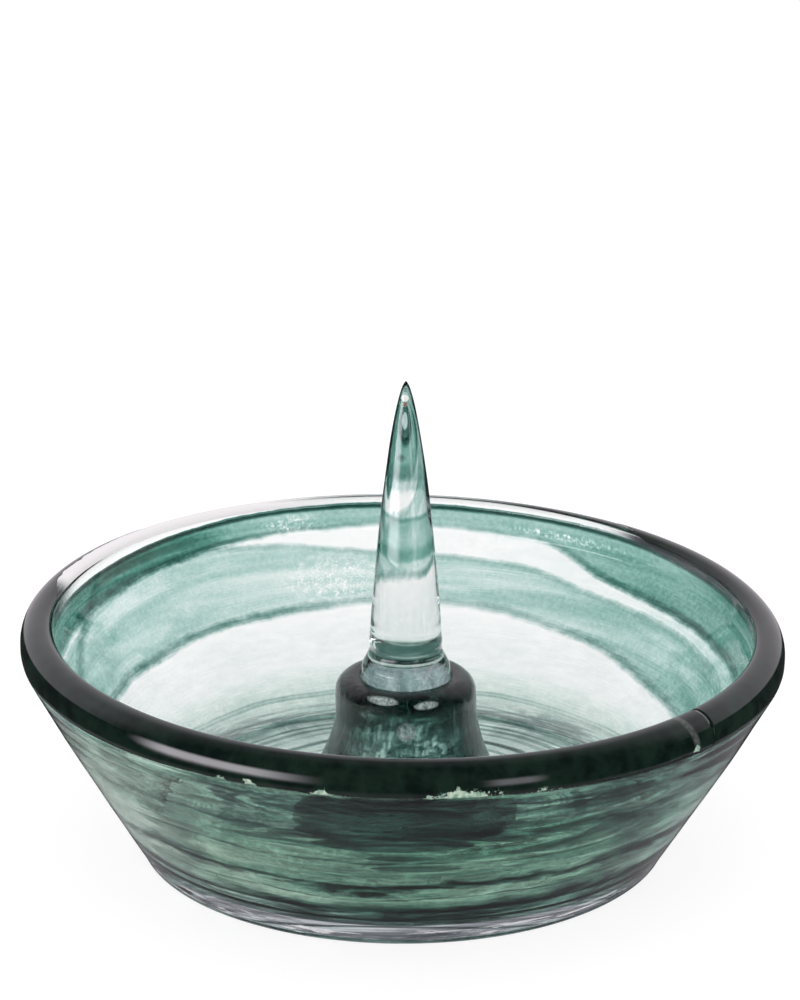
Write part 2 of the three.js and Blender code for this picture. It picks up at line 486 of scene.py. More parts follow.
# How strong the front wall's layout is, by degrees.
FRONT_STRENGTH = [(-180, 0.45), (-140, 0.45), (-120, 0.62), (-105, 0.86), (-90, 1.02), (-75, 1.0),
                  (-60, 0.94), (-40, 0.88), (0, 0.72), (180, 0.45)]
FLOOR_TEAL = [(0, 0.02), (17, 0.02), (24, 0.10), (27, 0.10), (31, 0.32), (35, 0.38), (40, 0.45),
              (45.4, 0.5), (49, 0.4), (52, 0.5), (60, 0.6)]
FLOOR_SMOKE = [(0, 0.03), (17, 0.06), (24, 0.08), (30, 0.08), (33, 0.14), (35.5, 0.12), (40, 0.08),
               (45.4, 0.1), (49, 0.06), (52, 0.1), (60, 0.2)]
# Dark hairlines wound round the front wall, then the floor: mm down, half width, density.
FRONT_LINES = [(13.2, 0.2, 0.7), (20.2, 0.25, 0.9), (26.2, 0.35, 1.7), (29.6, 0.2, 0.9),
               (33.0, 0.3, 1.2)]
FLOOR_LINES = [(33.4, 0.25, 0.5), (37.4, 0.35, 1.1), (39.3, 0.3, 0.9), (41.2, 0.2, 0.7),
               (44.4, 0.5, 1.9), (47.2, 0.25, 0.9), (50.5, 0.4, 1.0)]
# Where bubbles have left the colour speckled: degrees, mm down, and the half sizes of each.
SPECKLES = [(110, 1.6, 6, 2.4), (103, 12.5, 12, 5.0), (76, 5.5, 8, 2.4), (60, 2.0, 14, 1.2)]
TIP_PALE_SPOT = (BOSS_X - 0.15, -1.15, SPIKE_TOP - 2.6)  # a pale, nearly opaque spot at the front of the tip
# Density by height in mm in the spike.
SPIKE_TEAL = [(0, 1.0), (31, 1.0), (33.4, 0.4), (35, 0.12), (45, 0.05), (59, 0.03), (61.8, 0.04),
              (63, 1.1), (64.3, 1.4), (66, 0.75), (72, 0.75), (76, 0.8), (80.6, 0.6)]
SPIKE_SMOKE = [(0, 0.12), (31, 0.10), (34, 0.06), (45, 0.0), (59, 0.0), (62, 0.02), (63.4, 0.25),
               (64.5, 0.2), (66, 0.05), (73, 0.06), (78, 0.2), (80.6, 0.4)]
# Rings of colour on the front of the rod, by height where they meet its side.
SPIKE_RINGS = [(0, 0), (52.0, 0), (53.0, 1.9), (54.6, 1.1), (56.6, 0.7), (57.8, 0.9), (58.7, 0.9),
               (59.2, 2.0), (59.8, 0), (80.6, 0)]
SPIKE_FLECK = (BOSS_X - 0.7, -2.6, 68.2)  # a dark fleck in the drawn-out part
TIP_SPOT_COLOUR = (0.95, 0.93, 0.90)
RUST_COLOUR = (0.30, 0.16, 0.12)  # a speck under the tip's pale spot
# Where the lip is milky: the degrees over which it turns milky, and clear again.
MILKY_FROM = (96, 116)
MILKY_TO = (164, 170)
# The milky lip's colour, which the painted glints low in the foot take as well.
MILKY_AND_GLINT_COLOUR = (0.99, 0.95, 0.97)
# Painted highlights: pale, nearly opaque smears on the front of the boss: mm right of its axis,
# height, half sizes, strength.
BOSS_PAINTED_HIGHLIGHTS = [(-3.8, 28.2, 2.5, 0.55, 0.8), (3.4, 27.6, 2.0, 0.6, 0.7), (0.1, 23.4, 1.7, 1.7, 0.9),
               (-6.5, 25.6, 1.4, 0.8, 0.35), (0.5, 14.6, 7.0, 0.5, 0.5)]
# The colour of the painted highlights on the boss.
BOSS_HIGHLIGHT_COLOUR = (0.62, 0.70, 0.72)
BOSS_RIM = (BOSS_H - 3.4, BOSS_H - 1.6)  # heights over which the boss darkens to its rim
BOSS_BASE = (14, 19)  # heights over which it fills out from its thin base
# Where pale glass shows through the dark wrap's lower edge: degrees, half width in degrees, and
# the height of the patch's top over the lip's foot in mm.
PALE_PATCHES = [(-116, 5, 1.2), (-112, 6, 1.2), (-101, 7, 1.7), (-81, 14.5, 2.0), (-69, 15, 0.7),
                (-43, 2.2, 1.6)]
SMEAR = -43.0  # bearing of a pale smear across the wrap beside its seam
# The dark wrap's and its pale patches' least and greatest colour.
WRAP_COLOURS = ((0.003, 0.010), (0.007, 0.022), (0.006, 0.016))
PATCH_COLOURS = ((0.16, 0.52), (0.30, 0.62), (0.24, 0.50))

DEEPEST = 60.0  # the last mm down that the tables reach
DENSEST = 3  # the highest density in them
LOWEST_EDGE = 30  # the lowest place of a band's edge, in mm down
FRONT_WALL = (-16, 8)  # y over which the front wall's layout gives way to the back's
FRONT_WALL_FOOT = (38, 43)  # mm down over which the front wall's layout gives way to the floor's

# How much red, green and blue one unit of density takes away.
TEAL_ABSORPTION = (1.0, 0.56, 0.64)
SMOKE_ABSORPTION = (1.0, 0.97, 0.93)


def glass_colour(n, teal, smoke):
    """The colour that light keeps after a pass through teal and smoke of these densities."""
    kept = []
    for teal_part, smoke_part in zip(TEAL_ABSORPTION, SMOKE_ABSORPTION):
        total = n.plus(n.times(teal, teal_part), n.times(smoke, smoke_part))
        kept.append(n.math("EXPONENT", n.times(total, -1.0)))
    return kept


# ---- the glass of each piece ----
def fused():
    """The join between two fused layers: light goes straight through."""
    n = new_material("fused_join")
    n.show(n.node("BsdfTransparent"))
    return n.owner


def clear_glass():
    """Clear glass with a faint drift of colour, and with grey streaks and painted highlights (pale
    glints) low in the foot. The lip is milky at the back left, where the dark wrap has torn away."""
    n = new_material("clear_glass")
    place, x, y, z = n.position()
    theta = n.math("ARCTAN2", y, x)
    degrees = n.times(theta, 180 / math.pi)
    radius = n.math("SQRT", n.squares(x, y))
    outer = n.times(n.ramp(radius, 34, 41), n.ramp(z, 0.05, 0.6, 0.5, 1.1))
    low = n.times(n.ramp(z, 2.0, 6.0, 1.0, 0.0), outer)
    streak = wound_noise(n, theta, z, 3.0, 0.9, 5.0, 0.68, 0.7)
    drift = n.ramp(n.noise(place, 0.06, 3.0), 0.3, 0.7, 0.0, 0.04)
    teal = n.plus(drift, n.times(low, n.ramp(streak, 0.3, 0.6, 0.4, 0.15)))
    smoke = n.times(low, n.ramp(streak, 0.40, 0.62, 0.12, 2.2))
    torn_away = n.times(n.ramp(degrees, *MILKY_FROM), n.ramp(degrees, *MILKY_TO, 1.0, 0.0))
    lip = n.times(n.ramp(z, LIP_THROAT_Z, LIP_THROAT_Z + 0.8), torn_away)
    # Painted highlights: pale glints low in the foot, made as milky spots in the glass. They join the
    # milky lip below.
    painted_glint = n.ramp(wound_noise(n, theta, z, 5.0, 1.3, 4.0, 0.6, 0.4), 0.54, 0.62)
    painted_glint = n.times(painted_glint, n.times(n.ramp(z, 0.6, 1.0), n.ramp(z, 2.6, 3.8, 1.0, 0.0)))
    milky = n.math("MAXIMUM", lip, n.times(painted_glint, 0.75))
    colour = n.tinted(milky, glass_colour(n, teal, smoke), MILKY_AND_GLINT_COLOUR)
    n.glass(colour, transmission=n.scaled(milky, -0.94, 1.0))
    return n.owner


def spike_clear():
    """The spike's glass: clear, with a teal drift in the drawn-out part and rings below it."""
    n = new_material("spike_glass_clear")
    place, x, y, z = n.position()
    wave = n.straight(n.noise(place, 0.3, 3.0, 0.6, 0.5), 0.25, 0.75, -0.6, 0.6)

    def by_height(points, height):
        steps = [(level / SPIKE_TOP, density) for level, density in points]
        return n.curve(n.over(height, SPIKE_TOP), steps, 0, 2)

    drag = n.noise(n.join(x, y, n.times(z, 0.1)), 0.8, 4.0, 0.65, 0.5)
    drawn = n.times(by_height(SPIKE_TEAL, n.plus(z, wave)), n.ramp(drag, 0.3, 0.7, 0.5, 1.4))
    sloped = n.scaled(y, -0.35, n.scaled(wave, 0.5, z))
    rings = n.times(by_height(SPIKE_RINGS, sloped), n.ramp(y, -1.5, 1.0, 1.25, 0.0))
    teal = n.plus(drawn, rings)
    mottle = n.ramp(n.noise(place, 0.9, 4.0, 0.7, 1.0), 0.42, 0.62, 0.0, 0.7)
    mottle = n.times(mottle, n.ramp(z, 31.5, 33.5, 1.0, 0.0))
    fleck = n.ramp(n.distance(place, SPIKE_FLECK), 0.2, 0.9, 1.6, 0.0)
    smoke = n.plus(by_height(SPIKE_SMOKE, n.plus(z, wave)), n.plus(mottle, fleck))
    pale_spot = n.ramp(n.distance(place, TIP_PALE_SPOT), 0.45, 0.75, 1.0, 0.0)
    below = (TIP_PALE_SPOT[0], TIP_PALE_SPOT[1], TIP_PALE_SPOT[2] - 1.0)
    rust = n.ramp(n.distance(place, below), 0.25, 0.6, 1.0, 0.0)
    colour = n.tinted(pale_spot, glass_colour(n, teal, smoke), TIP_SPOT_COLOUR)
    colour = n.tinted(rust, colour, RUST_COLOUR)
    cloudy = n.times(n.math("MAXIMUM", pale_spot, rust), 0.85)
    n.glass(colour, transmission=n.minus(1.0, cloudy))
    return n.owner


class Lining:
    """Where a point lies on the lining, and the noises that the lining's colour follows."""

    def __init__(self, n):
        self.n = n
        self.place, self.x, self.y, z = n.position()
        self.theta = n.math("ARCTAN2", self.y, self.x)
        self.degrees = n.times(self.theta, 180 / math.pi)
        floor_edge = wall_radius(FLOOR + FLOOR_ROUND, WALL + FLOOR_ROUND)
        radius = n.math("SQRT", n.squares(self.x, self.y))
        drop = n.minus(COLOUR_START_Z, upright(n, self.x, z))
        down_wall = n.times(drop, 1 / math.cos(WALL_ANGLE))
        along_floor = n.math("MAXIMUM", n.minus(floor_edge, radius), 0.0)
        self.true_down = n.plus(down_wall, along_floor)
        self.front = n.ramp(self.y, *FRONT_WALL, 1.0, 0.0)

        self.slow = self.ring_noise(2.6, 0.07, 2.0, 0.5)
        self.streak = self.ring_noise(1.8, 0.55, 5.0, 0.62, 0.5)
        self.fine = self.ring_noise(11, 1.7, 3.0, 0.6)
        self.blotch = self.ring_noise(3.0, 0.28, 5.0, 0.66, 1.6)
        self.wander = n.times(n.straight(self.slow, 0.2, 0.8, -1.0, 1.0),
                              n.straight(self.front, 0, 1, 0.5, 2.2))
        self.torn = n.times(n.straight(self.ring_noise(20, 0.5, 4.0, 0.65), 0.25, 0.75, -1, 1),
                            n.straight(self.front, 0, 1, 0.25, 0.5))
        self.down = n.plus(self.true_down, n.plus(self.wander, self.torn))
        self.turn = n.scaled(self.theta, 1 / (2 * math.pi), 0.5)
        self.depth = n.over(n.math("MAXIMUM", self.down, 0.0), DEEPEST)

    def ring_noise(self, cells, stretch, detail, rough, distort=0.0):
        return wound_noise(self.n, self.theta, self.true_down, cells, stretch, detail, rough,
                           distort)

    def by_angle(self, points, low=0, high=DENSEST):
        return self.n.curve(self.turn, [((a + 180) / 360, v) for a, v in points], low, high)

    def by_depth(self, points):
        return self.n.curve(self.depth, [(v / DEEPEST, d) for v, d in points], 0, DENSEST)

    def past(self, edge):
        """How far the point is past an edge that is laid out by degrees, in mm."""
        return self.n.minus(self.down, self.by_angle(edge, 0, LOWEST_EDGE))


def edge_line(n, offset, half_width):
    """1 on the line where offset is 0, fading out across half_width mm."""
    return n.ramp(n.math("ABSOLUTE", offset), 0.15 * half_width, 1.5 * half_width, 1.0, 0.0)


def back_colour(n, at):
    """Densities of teal and smoke where the bands wind round the back and the sides, and on the
    floor, which has hairlines wound round it."""
    top_end = at.past(TOP_BAND_END)
    second_start = at.past(SECOND_BAND_START)
    second_end = at.past(SECOND_BAND_END)
    inside = n.ramp(second_end, -1.5, 0.5, 1.0, 0.0)
    top = n.times(n.ramp(top_end, -0.7, 0.4, 1.0, 0.0), at.by_angle(TOP_BODY),
                  n.ramp(at.streak, 0.3, 0.7, 0.7, 1.25))
    second = n.times(n.ramp(second_start, -0.5, 0.5), inside, at.by_angle(SECOND_BODY),
                     n.ramp(at.streak, 0.32, 0.68, 0.45, 1.35))
    between = n.times(n.ramp(top_end, -0.4, 0.4), inside, at.by_angle(BETWEEN_BODY),
                      n.ramp(at.blotch, 0.35, 0.65, 0.3, 1.3))
    left = n.times(n.ramp(at.x, -62, -30, 1.0, 0.0), n.ramp(at.y, -18, 4))
    lines = n.plus(
        n.times(edge_line(n, top_end, 0.55), at.by_angle(TOP_EDGE)),
        n.times(edge_line(n, second_start, 0.4), 0.55),
        n.times(edge_line(n, second_end, 0.7), at.by_angle(SECOND_EDGE)),
        n.times(edge_line(n, at.past(DIAGONAL), 1.0), 1.3, left),
    )
    lines = n.times(lines, n.ramp(at.fine, 0.3, 0.65, 0.5, 1.2))
    floor_teal = n.times(at.by_depth(FLOOR_TEAL), n.ramp(at.fine, 0.25, 0.7, 0.6, 1.3))
    floor_smoke = n.times(at.by_depth(FLOOR_SMOKE), n.ramp(at.fine, 0.25, 0.7, 0.4, 1.2))
    teal = n.plus(top, second, between, lines, floor_teal)
    smoke = n.plus(n.times(lines, 0.35), floor_smoke)

    winding = n.scaled(n.math("SINE", at.theta), 0.7, n.scaled(at.wander, 0.8, at.true_down))
    shown = n.scaled(at.front, -0.9, 1.0)
    for deep, half_width, density in FLOOR_LINES:
        hairline = n.times(edge_line(n, n.minus(winding, deep), half_width), shown,
                           n.ramp(at.slow, 0.3, 0.7, 0.5 * density, 1.3 * density))
        teal = n.plus(teal, hairline)
        smoke = n.scaled(hairline, 0.8, smoke)
    return teal, smoke


def front_colour(n, at):
    """Densities of teal and smoke in the front wall, which has dark streaks drawn along it."""
    teal = n.times(at.by_depth(FRONT_TEAL), n.ramp(at.streak, 0.34, 0.66, 0.6, 1.35))
    smoke = n.times(at.by_depth(FRONT_SMOKE), n.ramp(at.blotch, 0.38, 0.62, 0.15, 1.9),
                    n.ramp(at.fine, 0.3, 0.7, 0.6, 1.4))
    drifting = n.scaled(at.wander, 0.45, at.true_down)
    for deep, half_width, density in FRONT_LINES:
        hairline = n.times(edge_line(n, n.minus(drifting, deep), half_width),
                           n.ramp(at.blotch, 0.36, 0.6, 0.2, 1.4 * density))
        teal = n.scaled(hairline, 0.4, teal)
        smoke = n.plus(hairline, smoke)
    strength = at.by_angle(FRONT_STRENGTH)
    return n.times(teal, strength), n.times(smoke, strength)


def speckled(n, at, teal):
    """The density of teal with the spots that bubbles have left in it."""
    spots = n.ramp(n.noise(at.place, 0.9, 3.0, 0.75), 0.50, 0.60)
    for bearing, deep, half_angle, half_depth in SPECKLES:
        across = n.over(n.minus(at.degrees, bearing), half_angle)
        along = n.over(n.minus(at.true_down, deep), half_depth)
        cleared = n.times(n.ramp(n.squares(across, along), 0.1, 1.2, 1.0, 0.0), spots)
        teal = n.times(teal, n.minus(1.0, cleared))
    return teal


def teal_lining(fused_face=False):
    """Streaky teal glass. The face fused to the casing takes its half of the colour as well."""
    n = new_material("teal_join" if fused_face else "teal_lining")
    at = Lining(n)
    back_teal, back_smoke = back_colour(n, at)
    front_teal, front_smoke = front_colour(n, at)
    front_wall = n.times(at.front, n.ramp(at.true_down, *FRONT_WALL_FOOT, 1.0, 0.0))
    grain = n.ramp(n.noise(at.place, 1.3, 4.0, 0.7), 0.3, 0.7, 0.8, 1.2)
    teal = n.times(n.mixed(front_wall, back_teal, front_teal), grain)
    smoke = n.times(n.mixed(front_wall, back_smoke, front_smoke), grain)
    teal = speckled(n, at, teal)

    top_line = at.by_angle(TOP_LINE, -5, LOWEST_EDGE)
    under_top = n.minus(n.scaled(at.torn, 0.4, at.true_down), top_line)
    coloured = n.ramp(under_top, -0.1, 0.1)
    top_rim = n.ramp(under_top, 0.35, 1.1, 1.0, 0.0)
    teal = n.times(coloured, n.plus(teal, n.times(top_rim, 2.4)))
    smoke = n.times(coloured, n.plus(smoke, n.times(top_rim, 1.2)))
    above = n.times(n.minus(1.0, coloured), at.by_angle(DARK_ABOVE))
    red, green, blue = glass_colour(n, teal, n.plus(smoke, above))
    olive = n.math("MAXIMUM", at.front, n.times(n.ramp(at.true_down, 27, 33), 0.4))
    blue = n.times(blue, n.scaled(olive, -0.09, 1.0))
    if fused_face:
        shader = n.node("BsdfTransparent")
        halves = [n.math("SQRT", part) for part in (red, green, blue)]
        n.put(shader.inputs["Color"], n.colour(*halves))
        n.show(shader)
    else:
        n.glass((red, green, blue))
    return n.owner


def bottle_green():
    """Dense green glass, drawn down in fine vertical lines and darkest at its rim. Its left and right
    sides carry painted shade, and its front carries painted highlights. It is thin at its base and
    behind the spike."""
    n = new_material("bottle_green_glass")
    place, x, y, z = n.position()
    drag = n.noise(n.stretched(x, y, z, 0.75, 0.17), 1.0, 5.0, 0.68, 0.8)
    swirl = n.noise(n.stretched(x, y, z, 0.16, 0.34), 1.0, 4.0, 0.6, 1.4)
    off_axis = n.math("ABSOLUTE", n.minus(x, BOSS_X))
    # Painted shade: denser teal and smoke towards the boss's left and right sides, for the darkening
    # that slanting paths through the glass give there.
    side = n.ramp(off_axis, 4.5, 11.0)
    rim = n.ramp(z, *BOSS_RIM)
    teal = n.plus(n.ramp(drag, 0.35, 0.65, 0.6, 1.5), n.ramp(swirl, 0.38, 0.62, 0.1, 1.4),
                  n.times(side, 1.6), n.times(rim, 2.4))
    smoke = n.plus(n.ramp(drag, 0.38, 0.66, 0.0, 1.9), n.ramp(swirl, 0.42, 0.62, 0.0, 1.9),
                   n.times(side, 2.4), n.times(rim, 3.0))
    behind = n.times(n.ramp(y, 1, 5), n.ramp(off_axis, 5, 8, 1.0, 0.0), rim)
    full = n.times(n.ramp(z, *BOSS_BASE, 0.15, 1.0), n.scaled(behind, -0.85, 1.0))
    smoke = n.times(smoke, full)
    teal = n.times(teal, n.ramp(full, 0.15, 1.0, 0.5, 1.3))

    # Painted highlights: pale, nearly opaque spots on the front of the boss, broken up by noise.
    highlight_breakup = n.ramp(n.noise(place, 1.2, 4.0, 0.7), 0.38, 0.62, 0.2, 1.0)
    pale = 0.0
    for across, height, half_width, half_height, strength in BOSS_PAINTED_HIGHLIGHTS:
        dx = n.over(n.minus(x, BOSS_X + across), half_width)
        dz = n.over(n.minus(z, height), half_height)
        spot = n.times(n.ramp(n.squares(dx, dz), 0.2, 1.2, 1.0, 0.0), strength, highlight_breakup)
        pale = n.plus(spot, pale)
    facing = n.ramp(y, -6, -3, 1.0, 0.0)
    pale = n.math("MULTIPLY", pale, facing, clamp=True)
    colour = n.tinted(pale, glass_colour(n, teal, smoke), BOSS_HIGHLIGHT_COLOUR)
    shader = n.glass(colour, 0.02, transmission=n.mixed(pale, 1.0, 0.1))
    shader.inputs["Specular IOR Level"].default_value = 0.08
    bump = n.node("Bump")
    bump.inputs["Strength"].default_value = 0.6
    bump.inputs["Distance"].default_value = 0.4 * MM
    n.put(bump.inputs["Height"], drag)
    n.put(shader.inputs["Normal"], bump.outputs[0])
    return n.owner


def black_glass():
    """Near-black glass with a fire-polished face and ragged pale patches low on the front."""
    n = new_material("black_glass")
    place, x, y, z = n.position()
    height = n.minus(upright(n, x, z), LIP_BASE_Z)
    degrees = n.times(n.math("ARCTAN2", y, x), 180 / math.pi)
    drift = n.noise(place, 0.25, 4.0, 0.6)
    torn = n.straight(n.noise(place, 0.45, 5.0, 0.7), 0.25, 0.75, -1.6, 1.6)
    patch = 0.0
    for centre, half_width, top in PALE_PATCHES:
        off = n.math("ABSOLUTE", n.minus(degrees, centre))
        reach = n.straight(off, 0.0, half_width, top, -2.0)
        inside = n.minus(n.plus(reach, torn), height)
        patch = n.math("MAXIMUM", n.ramp(inside, -0.15, 0.15), patch)
    mottle = n.ramp(n.noise(place, 1.1, 4.0, 0.6), 0.3, 0.7)
    bow = n.scaled(n.minus(height, 3.0), 0.25, degrees)
    smear = n.ramp(n.math("ABSOLUTE", n.minus(bow, SMEAR)), 0.1, 0.9, 0.10, 0.0)
    smear = n.times(smear, n.ramp(mottle, 0, 1, 0.4, 1.0))
    colour = []
    for dark, pale in zip(WRAP_COLOURS, PATCH_COLOURS):
        part = n.mixed(patch, n.ramp(drift, 0.3, 0.7, *dark), n.ramp(mottle, 0, 1, *pale))
        colour.append(n.plus(part, smear))
    n.glass(colour, 0.04, transmission=0.0)
    return n.owner


FUSED = fused()
CLEAR = clear_glass()
SPIKE_CLEAR = spike_clear()
TEAL = teal_lining()
TEAL_JOIN = teal_lining(fused_face=True)
GREEN = bottle_green()
BLACK = black_glass()


# ---- the bowl ----
CASING_WARP = bowl_warp(1.0)


def bead_outline():
    """The lip's section from the outer wall over the top to the inner wall."""
    under = (WALL_TOP_R, LIP_BASE_Z)
    side = (RIM_R, LIP_BASE_Z + 1.1)
    tuck = [under, (RIM_R - 0.12, LIP_BASE_Z + 0.3), (RIM_R - 0.03, LIP_BASE_Z + 0.7), side]
    outer = arc((LIP_CREST_R, BOWL_H - LIP_ROUND), LIP_ROUND, 0, 90, 22)
    inner = arc((LIP_CREST_R, LIP_THROAT_Z), LIP_INNER_ROUND, 90, LINING_TOP_ANGLE, 9)
    return tuck + line(side, outer[0], 4)[:-1] + outer + inner[1:]


def bowl_casing():
    """Clear outer gather with the clear fire-polished lip."""
    floor = FLOOR - LINING
    foot = arc((BASE_R - FOOT_ROUND, FOOT_ROUND), FOOT_ROUND, -90, 0, 8)
    wall = []
    start = foot[-1]
    for i in range(1, WALL_STEPS):
        t = i / WALL_STEPS
        r = start[0] + (WALL_TOP_R - start[0]) * t + WALL_BULGE * math.sin(math.pi * t)
        wall.append((r, start[1] + (LIP_BASE_Z - start[1]) * t))
    bead = bead_outline()
    inside = dish_inside(WALL - LINING, floor, FLOOR_ROUND + LINING)
    sections = [
        ([(0, 0)] + line((0, 0), foot[0], 12) + foot[1:] + wall + bead, 0, False),
        (inside + [(0, floor)], 1, True),
    ]
    return revolve("bowl_casing_glass", sections, BOWL_TURNS, CASING_WARP, [CLEAR, FUSED])


def colour_lining():
    """The teal layer: its inner face is the inside of the dish."""
    floor = FLOOR - LINING + LINING_FLOOR_GAP
    under = dish_inside(WALL - LINING + LINING_GAP, floor, FLOOR_ROUND + LINING, JOIN_GAP)
    inside = dish_inside(WALL, FLOOR, FLOOR_ROUND, JOIN_GAP)
    boss_edge = (BOSS_FOOT_R, FLOOR)
    sections = [
        ([(0, floor)] + under[::-1], 1, False),
        ([inside[0]], 1, False),
        (inside[1:] + line(inside[-1], boss_edge, 24), 0, True),
        ([(0, FLOOR)], 2, True),
    ]
    return revolve("colour_lining_glass", sections, BOWL_TURNS, bowl_warp(2.0),
                   [TEAL, TEAL_JOIN, FUSED])


# ---- the boss and the spike ----
def spike_boss():
    """Dark gather on the floor: a concave flare, a rounded shoulder and a shallow seat."""
    bottom = FLOOR + JOIN_GAP
    flare_start = bottom + 0.5
    shoulder_z = BOSS_H - BOSS_ROUND
    flare_top = shoulder_z - BOSS_NECK
    flare = []
    steps = 30
    for i in range(steps + 1):
        t = i / steps
        radius = BOSS_R + (BOSS_FOOT_R - BOSS_R) * (1 - t) ** BOSS_FLARE
        flare.append((radius, flare_start + (flare_top - flare_start) * t))
    shoulder = arc((BOSS_R - BOSS_ROUND, shoulder_z), BOSS_ROUND, 0, 90, 14)
    seat_edge = arc((SPIKE_FOOT_R + SEAT_ROUND, BOSS_H - SEAT_ROUND), SEAT_ROUND, 90, 165, 5)
    side = [(BOSS_FOOT_R, flare_start - 0.2)] + flare + line(flare[-1], shoulder[0], 6)
    sections = [
        ([(0, bottom), (BOSS_FOOT_R, bottom)], 1, False),
        (side + shoulder[1:] + seat_edge, 0, True),
        ([(SPIKE_FOOT_R, SEAT_Z)], 1, True),
        ([(0, SEAT_Z)], 0, True),
    ]
    return revolve("spike_boss_glass", sections, ROD_TURNS, rod_warp(4.0, BOSS_WAVE),
                   [GREEN, FUSED])


def spike():
    """Clear spike: a pressed foot, a pinched neck, then a rod drawn out to a point."""
    bottom = SEAT_Z + JOIN_GAP
    join_top = BOSS_H - 0.6
    foot_top = bottom + SPIKE_FOOT_H
    taper = foot_top + SPIKE_NECK_H
    foot = [(SPIKE_FOOT_R - JOIN_GAP, join_top)]
    bulge = [(SPIKE_FOOT_R + 0.05, join_top + 0.8), (SPIKE_FOOT_R, join_top + 1.7),
             (SPIKE_FOOT_R - 0.15, join_top + 2.5), (SPIKE_FOOT_R - 0.45, join_top + 3.2),
             (SPIKE_FOOT_R - 0.85, foot_top)]
    neck = [(SPIKE_R + 0.45, foot_top + 0.5), (SPIKE_R + 0.15, foot_top + 1.2),
            (SPIKE_R, foot_top + 1.9), (SPIKE_R + 0.08, foot_top + 2.5),
            (SPIKE_R + 0.1, foot_top + 3.1), (SPIKE_R + 0.05, foot_top + 3.6)]
    rod = []
    steps = 90
    for i in range(steps):
        t = 1 - (1 - i / steps) ** 1.6  # closer together towards the tip
        radius = SPIKE_R * (1 - t ** 1.12) ** SPIKE_BLUNT
        rod.append((radius, taper + (SPIKE_TOP - taper) * t))
    sections = [
        ([(0, bottom), (SPIKE_FOOT_R - JOIN_GAP, bottom)], 0, False),
        (foot, 1, True),
        (bulge + neck + rod + [(0, SPIKE_TOP)], 0, True),
    ]
    return revolve("spike_glass", sections, ROD_TURNS, rod_warp(7.0, SPIKE_WAVE),
                   [SPIKE_CLEAR, FUSED])


# ---- the dark lip wrap ----
def lip_path():
    """The bead's section from its inner foot over the top to its outer foot, and the fraction of
    its length at which each point lies."""
    points = bead_outline()[::-1]
    lengths = [0.0]
    for a, b in zip(points, points[1:]):
        lengths.append(lengths[-1] + math.dist(a, b))
    return points, [length / lengths[-1] for length in lengths]


LIP_POINTS, LIP_MARKS = lip_path()
LIP_RADII = [r for r, z in LIP_POINTS]
LIP_HEIGHTS = [z for r, z in LIP_POINTS]
LIP_SLOPE_STEP = 0.02  # fraction of the section either side that the slope is taken over


def lip_point(u):
    """Radius and height at fraction u of the lip's section."""
    return np.interp(u, LIP_MARKS, LIP_RADII), np.interp(u, LIP_MARKS, LIP_HEIGHTS)


def on_lip(u, lift):
    """The point at fraction u of the lip's section, `lift` mm off its surface."""
    u = min(max(u, 0.0), 1.0)
    r, z = lip_point(u)
    before = lip_point(max(u - LIP_SLOPE_STEP, 0))
    after = lip_point(min(u + LIP_SLOPE_STEP, 1))
    dr = after[0] - before[0]
    dz = after[1] - before[1]
    length = math.hypot(dr, dz) or 1.0
    return r - dz / length * lift, z + dr / length * lift


def lip_wrap(name, start, end, bounds_at):
    """A dark skin over the bead between two angles. bounds_at(degrees) gives the fractions of
    the section that it covers; where they meet, the skin has run out."""
    count = int((end - start) / WRAP_STEP)
    vertices = []
    rings = []
    for k in range(count + 1):
        degrees = start + (end - start) * k / count
        theta = math.radians(degrees)
        u0, u1 = bounds_at(degrees)
        thin = smooth(0.0, 0.12, u1 - u0)
        ring = []
        for side, height in enumerate((WRAP_PROUD, -WRAP_SUNK)):
            for i in range(WRAP_ACROSS):
                f = i / (WRAP_ACROSS - 1)
                if side:
                    f = 1 - f
                u = u0 + (u1 - u0) * f
                rim = math.sin(math.pi * f) ** 0.25 if 0 < f < 1 else 0.0
                r, z = on_lip(u, height * rim * thin - 0.02)
                ring.append(len(vertices))
                vertices.append(CASING_WARP(r, z, theta))
        rings.append(ring)
    size = len(rings[0])
    faces = []
    for a, b in zip(rings, rings[1:]):
        for i in range(size):
            j = (i + 1) % size
            faces.append([a[i], b[i], b[j], a[j]])
    faces.append(rings[0])
    faces.append(rings[-1][::-1])
    return mesh_object(name, vertices, faces, [BLACK], [0] * len(faces))


def ragged(theta, seed, amount):
    """A torn edge: three sizes of noise along it."""
    coarse = noise.noise(Vector((theta * 9, seed, 0))) * 0.6
    mid = noise.noise(Vector((theta * 30, seed, 5))) * 0.3
    fine = noise.noise(Vector((theta * 90, seed, 9))) * 0.14
    return (coarse + mid + fine) * amount


# Edges of the front wrap where it runs out: degrees, fraction of the lip's section.
WRAP_INNER = [(FRONT_WRAP_START, 0.42), (137, 0.39), (147, 0.31), (158, 0.27), (166, 0.22), (173, 0.0)]
WRAP_OUTER = [(FRONT_WRAP_START, 0.43), (147, 0.50), (158, 0.60), (166, 0.74), (175, 0.93)]


def front_bounds(degrees):
    """From the seam round the front and left, thinning towards its ragged end at the back."""
    theta = math.radians(degrees)
    start_tear = smooth(FRONT_WRAP_START, FRONT_WRAP_START + 8, degrees)
    inner_tear = smooth(172, 166, degrees) * start_tear
    outer_tear = smooth(150, 170, degrees)
    inner = np.interp(degrees, *zip(*WRAP_INNER)) + ragged(theta, 2.0, 0.09) * inner_tear
    outer = np.interp(degrees, *zip(*WRAP_OUTER)) + ragged(theta, 8.0, 0.05) * outer_tear
    return min(inner, outer), min(outer, 1.0)


